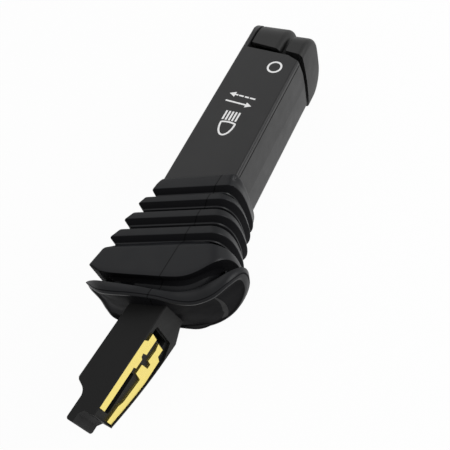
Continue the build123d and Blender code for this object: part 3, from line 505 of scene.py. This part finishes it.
# The mounting lip: a thin hollow rim on the block's neck, bent down in the middle. Each
# point: across, above, of its upper edge; across, above and depth of its lower edge.
rim_points = np.array([
    (-3.9, 11.0, -2.4, 12.2, 2.4), (1.6, 15.6, 3.0, 15.8, 4.3), (8.0, 17.3, 8.0, 17.1, 4.6),
    (17.0, 17.2, 17.0, 17.0, 4.0), (25.5, 14.4, 25.5, 14.2, 3.7), (32.5, 12.1, 32.5, 12.0, 4.8),
    (39.0, 11.9, 39.0, 11.8, 6.2), (45.8, 13.2, 45.8, 13.0, 6.8), (51.3, 13.3, 51.0, 12.9, 5.5),
    (55.0, 9.6, 55.2, 9.4, 3.9), (55.7, 2.6, 56.0, 1.8, 4.3), (53.9, -5.4, 53.8, -6.0, 4.4),
    (48.8, -13.6, 48.4, -13.6, 4.4), (40.0, -18.2, 40.0, -17.6, 4.5),
    (28.0, -19.2, 28.0, -18.0, 4.6), (15.0, -19.6, 15.0, -18.4, 5.0),
    (3.5, -19.0, 3.0, -18.0, 5.8), (-4.0, -15.6, -3.4, -15.4, 5.6),
    (-5.3, -8.0, -4.4, -9.0, 4.4), (-5.6, 2.0, -3.8, -1.0, 3.1), (-5.1, 7.6, -3.9, 7.4, 2.4)])
rim_tilt = 0.10
rim_front_z = 17.4
dish_depth = 4.2


def lip_bend(s):
    """Height of the lip's bent line at s: two arcs that meet level at its lowest point."""
    reach = np.clip(s - 30.0, -38.0, 30.0)
    radius = np.where(reach < 0, 114.0, 35.0)
    return 44.8 + radius - np.sqrt(radius ** 2 - reach ** 2)


def lip_top(s, z):
    """The lip's upper face: its bent line, rising towards the back by its tilt."""
    return lip_bend(s) + rim_tilt * (rim_front_z - z)


def closed_curve(points):
    """A smooth closed curve through points: cubic pieces whose slope at each point is half
    the way between its neighbours."""
    after, later, before = (np.roll(points, -n, 0) for n in (1, 2, -1))
    t = np.linspace(0, 1, rim_steps, endpoint=False)[:, None, None]
    start_slope, end_slope = (after - before) / 2, (later - points) / 2
    curve = ((2 * t ** 3 - 3 * t ** 2 + 1) * points + (t ** 3 - 2 * t ** 2 + t) * start_slope
             + (3 * t ** 2 - 2 * t ** 3) * after + (t ** 3 - t ** 2) * end_slope)
    return curve.transpose(1, 0, 2).reshape(-1, points.shape[1])


def drawn_in(curve, inset):
    """A closed outline moved inwards along its normal, run from right to left in front."""
    way = np.roll(curve, -1, 0) - np.roll(curve, 1, 0)
    way /= np.linalg.norm(way, axis=1, keepdims=True)
    return curve + inset * np.stack([-way[:, 1], way[:, 0]], 1)


rim = closed_curve(rim_points[::-1])
upper_edge, lower_edge, depth = rim[:, 0:2], rim[:, 2:4], rim[:, 4]
hub = np.array([22.0, -4.0])
dish = np.minimum(depth - 0.4, dish_depth)
lip_lines = []
for edge, inset, drop in ((upper_edge, 7.5, -5.0), (upper_edge, 7.5, 0.1), (upper_edge, 6.5, 0.0),
                          (upper_edge, 0.9, 0.0), (upper_edge, 0.3, 0.15), (upper_edge, 0.0, 0.6),
                          (lower_edge, -0.05, depth - 1.1), (lower_edge, 0.2, depth - 0.75),
                          (lower_edge, 0.75, depth - 0.1), (lower_edge, 1.0, depth),
                          (lower_edge, 1.6, depth), (lower_edge, 1.9, depth - 0.25)):
    line = drawn_in(edge, inset)
    lip_lines.append((line[:, 0], lip_top(line[:, 0], line[:, 1]) - drop, line[:, 1]))
inner_edge = drawn_in(lower_edge, 1.9)
for share in (0.05, 0.09, 0.16, 0.3, 0.5, 0.7, 0.82):
    line = inner_edge * (1 - share) + hub * share
    flat = dish + (dish_depth + 0.1 - dish) * min((share - 0.05) * 5, 1.0)
    lip_lines.append((line[:, 0], lip_top(line[:, 0], line[:, 1]) - flat, line[:, 1]))
lip_lines.append((lip_lines[-1][0], lip_lines[-1][1] + 6.0, lip_lines[-1][2]))
lip = grid_piece("boot_lip", placed(*(np.stack(part) for part in zip(*lip_lines))))
# All of the hollow gets the painted shade too, and the bevel along the rim's foot has none of it.
bevel_row, hollow_row = 7, 10
lip_row = np.arange(len(lip.data.polygons)) // len(rim)
finish = np.zeros(len(lip_row), np.int32)
lip.data.polygons.foreach_get("material_index", finish)
finish[lip_row >= bevel_row] = 0
finish[lip_row >= hollow_row] = 1
lip.data.polygons.foreach_set("material_index", finish)
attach(lip, "root")
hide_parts("boot_base")

# ------------------------------------------------------------------ contact foot
# A stiff black blade with two stamped and gilded strips in a pocket on its side.
foot_black = grained("foot_black", (0.008, 0.008, 0.008), (0.012, 0.012, 0.012), 0.5, 0.6,
                     scale=1800.0, depth=0.15, Specular_IOR_Level=0.12)
wear(foot_black, "foot_housing", "carrier_plate")
contact_gold = grained("contact_gold", (0.93, 0.74, 0.17), (0.97, 0.82, 0.25), 0.24, 0.34,
                       scale=260.0, depth=0.02, Metallic=1.0)
wear(contact_gold, "contact_strip_front", "contact_strip_rear")

# ------------------------------------------------------------------ inside
# The works that the shells hide: natural nylon blocks and plungers, a black core and
# frame, steel pins, screws and springs, and a green circuit board.
inner_nylon = grained("inner_nylon", (0.30, 0.29, 0.26), (0.36, 0.35, 0.31), 0.4, 0.5)
core_black = grained("core_black", (0.03, 0.03, 0.032), (0.05, 0.05, 0.052), 0.4, 0.5)
steel = grained("bright_steel", (0.50, 0.50, 0.50), (0.58, 0.58, 0.58), 0.25, 0.35, Metallic=1.0)
board_green = grained("board_green", (0.02, 0.09, 0.04), (0.03, 0.12, 0.05), 0.3, 0.4)
wear(inner_nylon, "pivot_block", "detent_cam", "turn_plunger", "beam_plunger", "lead_connector")
wear(core_black, "lever_core", "tip_frame", "key_switches", "code_resistors", "leads")
wear(steel, "turn_pin", "beam_pin", "rocker_pin", "shell_screws", "turn_spring", "beam_spring",
     "button_spring", "rocker_springs")
wear(board_green, "circuit_board")


merge_distance = 0.001 * mm


def coil_between(name, node):
    """The node's coils as a piece of their own, with doubled points merged, standing in for the
    hidden node."""
    mesh = bpy.data.objects[node].data.copy()
    reworked(mesh, lambda shape: bmesh.ops.remove_doubles(shape, verts=shape.verts,
                                                          dist=merge_distance))
    coil = bpy.data.objects.new(name, mesh)
    bpy.context.scene.collection.objects.link(coil)
    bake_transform(coil)
    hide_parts(node)


coil_between("turn_coil", "turn_spring")
coil_between("beam_coil", "beam_spring")
coil_between("button_coil", "button_spring")
coil_between("rocker_coils", "rocker_springs")

# ------------------------------------------------------------------ studio
# A white floor and a white surround, two soft lamps, and the camera.
floor_z = -0.0220
floor_mesh = bpy.data.meshes.new("studio_floor")
reach = 3.0
floor_mesh.from_pydata([(-reach, -reach, floor_z), (reach, -reach, floor_z),
                        (reach, reach, floor_z), (-reach, reach, floor_z)], [], [(0, 1, 2, 3)])
floor = bpy.data.objects.new("studio_floor", floor_mesh)
bpy.context.scene.collection.objects.link(floor)


def seen_white(tree, share):
    """A mask that is the given share on camera, glossy and transmission rays, else 0."""
    path = tree.nodes.new("ShaderNodeLightPath")
    both = math_node(tree, "MAXIMUM", path.outputs["Is Camera Ray"], path.outputs["Is Glossy Ray"])
    three = math_node(tree, "MAXIMUM", both, path.outputs["Is Transmission Ray"])
    return math_node(tree, "MULTIPLY", three, share)


floor_white, tree, output = new_material("floor_white")
paint = tree.nodes.new("ShaderNodeBsdfDiffuse")
paint.inputs["Color"].default_value = (0.8, 0.8, 0.8, 1)
glow = tree.nodes.new("ShaderNodeEmission")
blend = tree.nodes.new("ShaderNodeMixShader")
tree.links.new(seen_white(tree, 0.96), blend.inputs[0])
tree.links.new(paint.outputs[0], blend.inputs[1])
tree.links.new(glow.outputs[0], blend.inputs[2])
tree.links.new(blend.outputs[0], output.inputs["Surface"])
floor_mesh.materials.append(floor_white)

world = bpy.data.worlds.new("studio_world")
bpy.context.scene.world = world
world.use_nodes = True
tree = world.node_tree
tree.nodes.clear()
sky = tree.nodes.new("ShaderNodeBackground")
sky.inputs["Color"].default_value = (1, 1, 1, 1)
level = tree.nodes.new("ShaderNodeMapRange")
level.inputs["To Min"].default_value = 0.5
level.inputs["To Max"].default_value = 1.0
tree.links.new(seen_white(tree, 1.0), level.inputs["Value"])
tree.links.new(level.outputs["Result"], sky.inputs["Strength"])
tree.links.new(sky.outputs[0], tree.nodes.new("ShaderNodeOutputWorld").inputs["Surface"])


def soft_lamp(name, place, aim, size, power):
    """A square area lamp at a place, turned to its aim."""
    light = bpy.data.lights.new(name, "AREA")
    light.size = size
    light.energy = power
    lamp = bpy.data.objects.new(name, light)
    lamp.location = place
    lamp.rotation_euler = (Vector(aim) - Vector(place)).to_track_quat("-Z", "Y").to_euler()
    bpy.context.scene.collection.objects.link(lamp)


middle = (0.0, 0.09, 0.0)
soft_lamp("side_lamp", (0.48, 0.32, 0.26), middle, 0.3, 2.0)
soft_lamp("front_lamp", (-0.26, 0.34, 0.50), middle, 0.4, 0.45)

image_side = 450
focal_px = 629.156
camera_data = bpy.data.cameras.new("studio_camera")
camera_data.sensor_width = 36.0
camera_data.sensor_fit = "HORIZONTAL"
camera_data.lens = focal_px / image_side * camera_data.sensor_width
camera_data.clip_start = 0.01
camera = bpy.data.objects.new("studio_camera", camera_data)
right = Vector((0.878008, 0.423204, -0.223606))
down = Vector((0.253646, -0.807562, -0.532454))
ahead = Vector((-0.405912, 0.410782, -0.816390))
camera.matrix_world = (Matrix.Translation((0.11426, -0.01157, 0.20193))
                       @ Matrix((right, -down, -ahead)).transposed().to_4x4())
bpy.context.scene.collection.objects.link(camera)
bpy.context.scene.camera = camera
bpy.context.scene.view_settings.view_transform = "Standard"

bpy.context.view_layer.update()
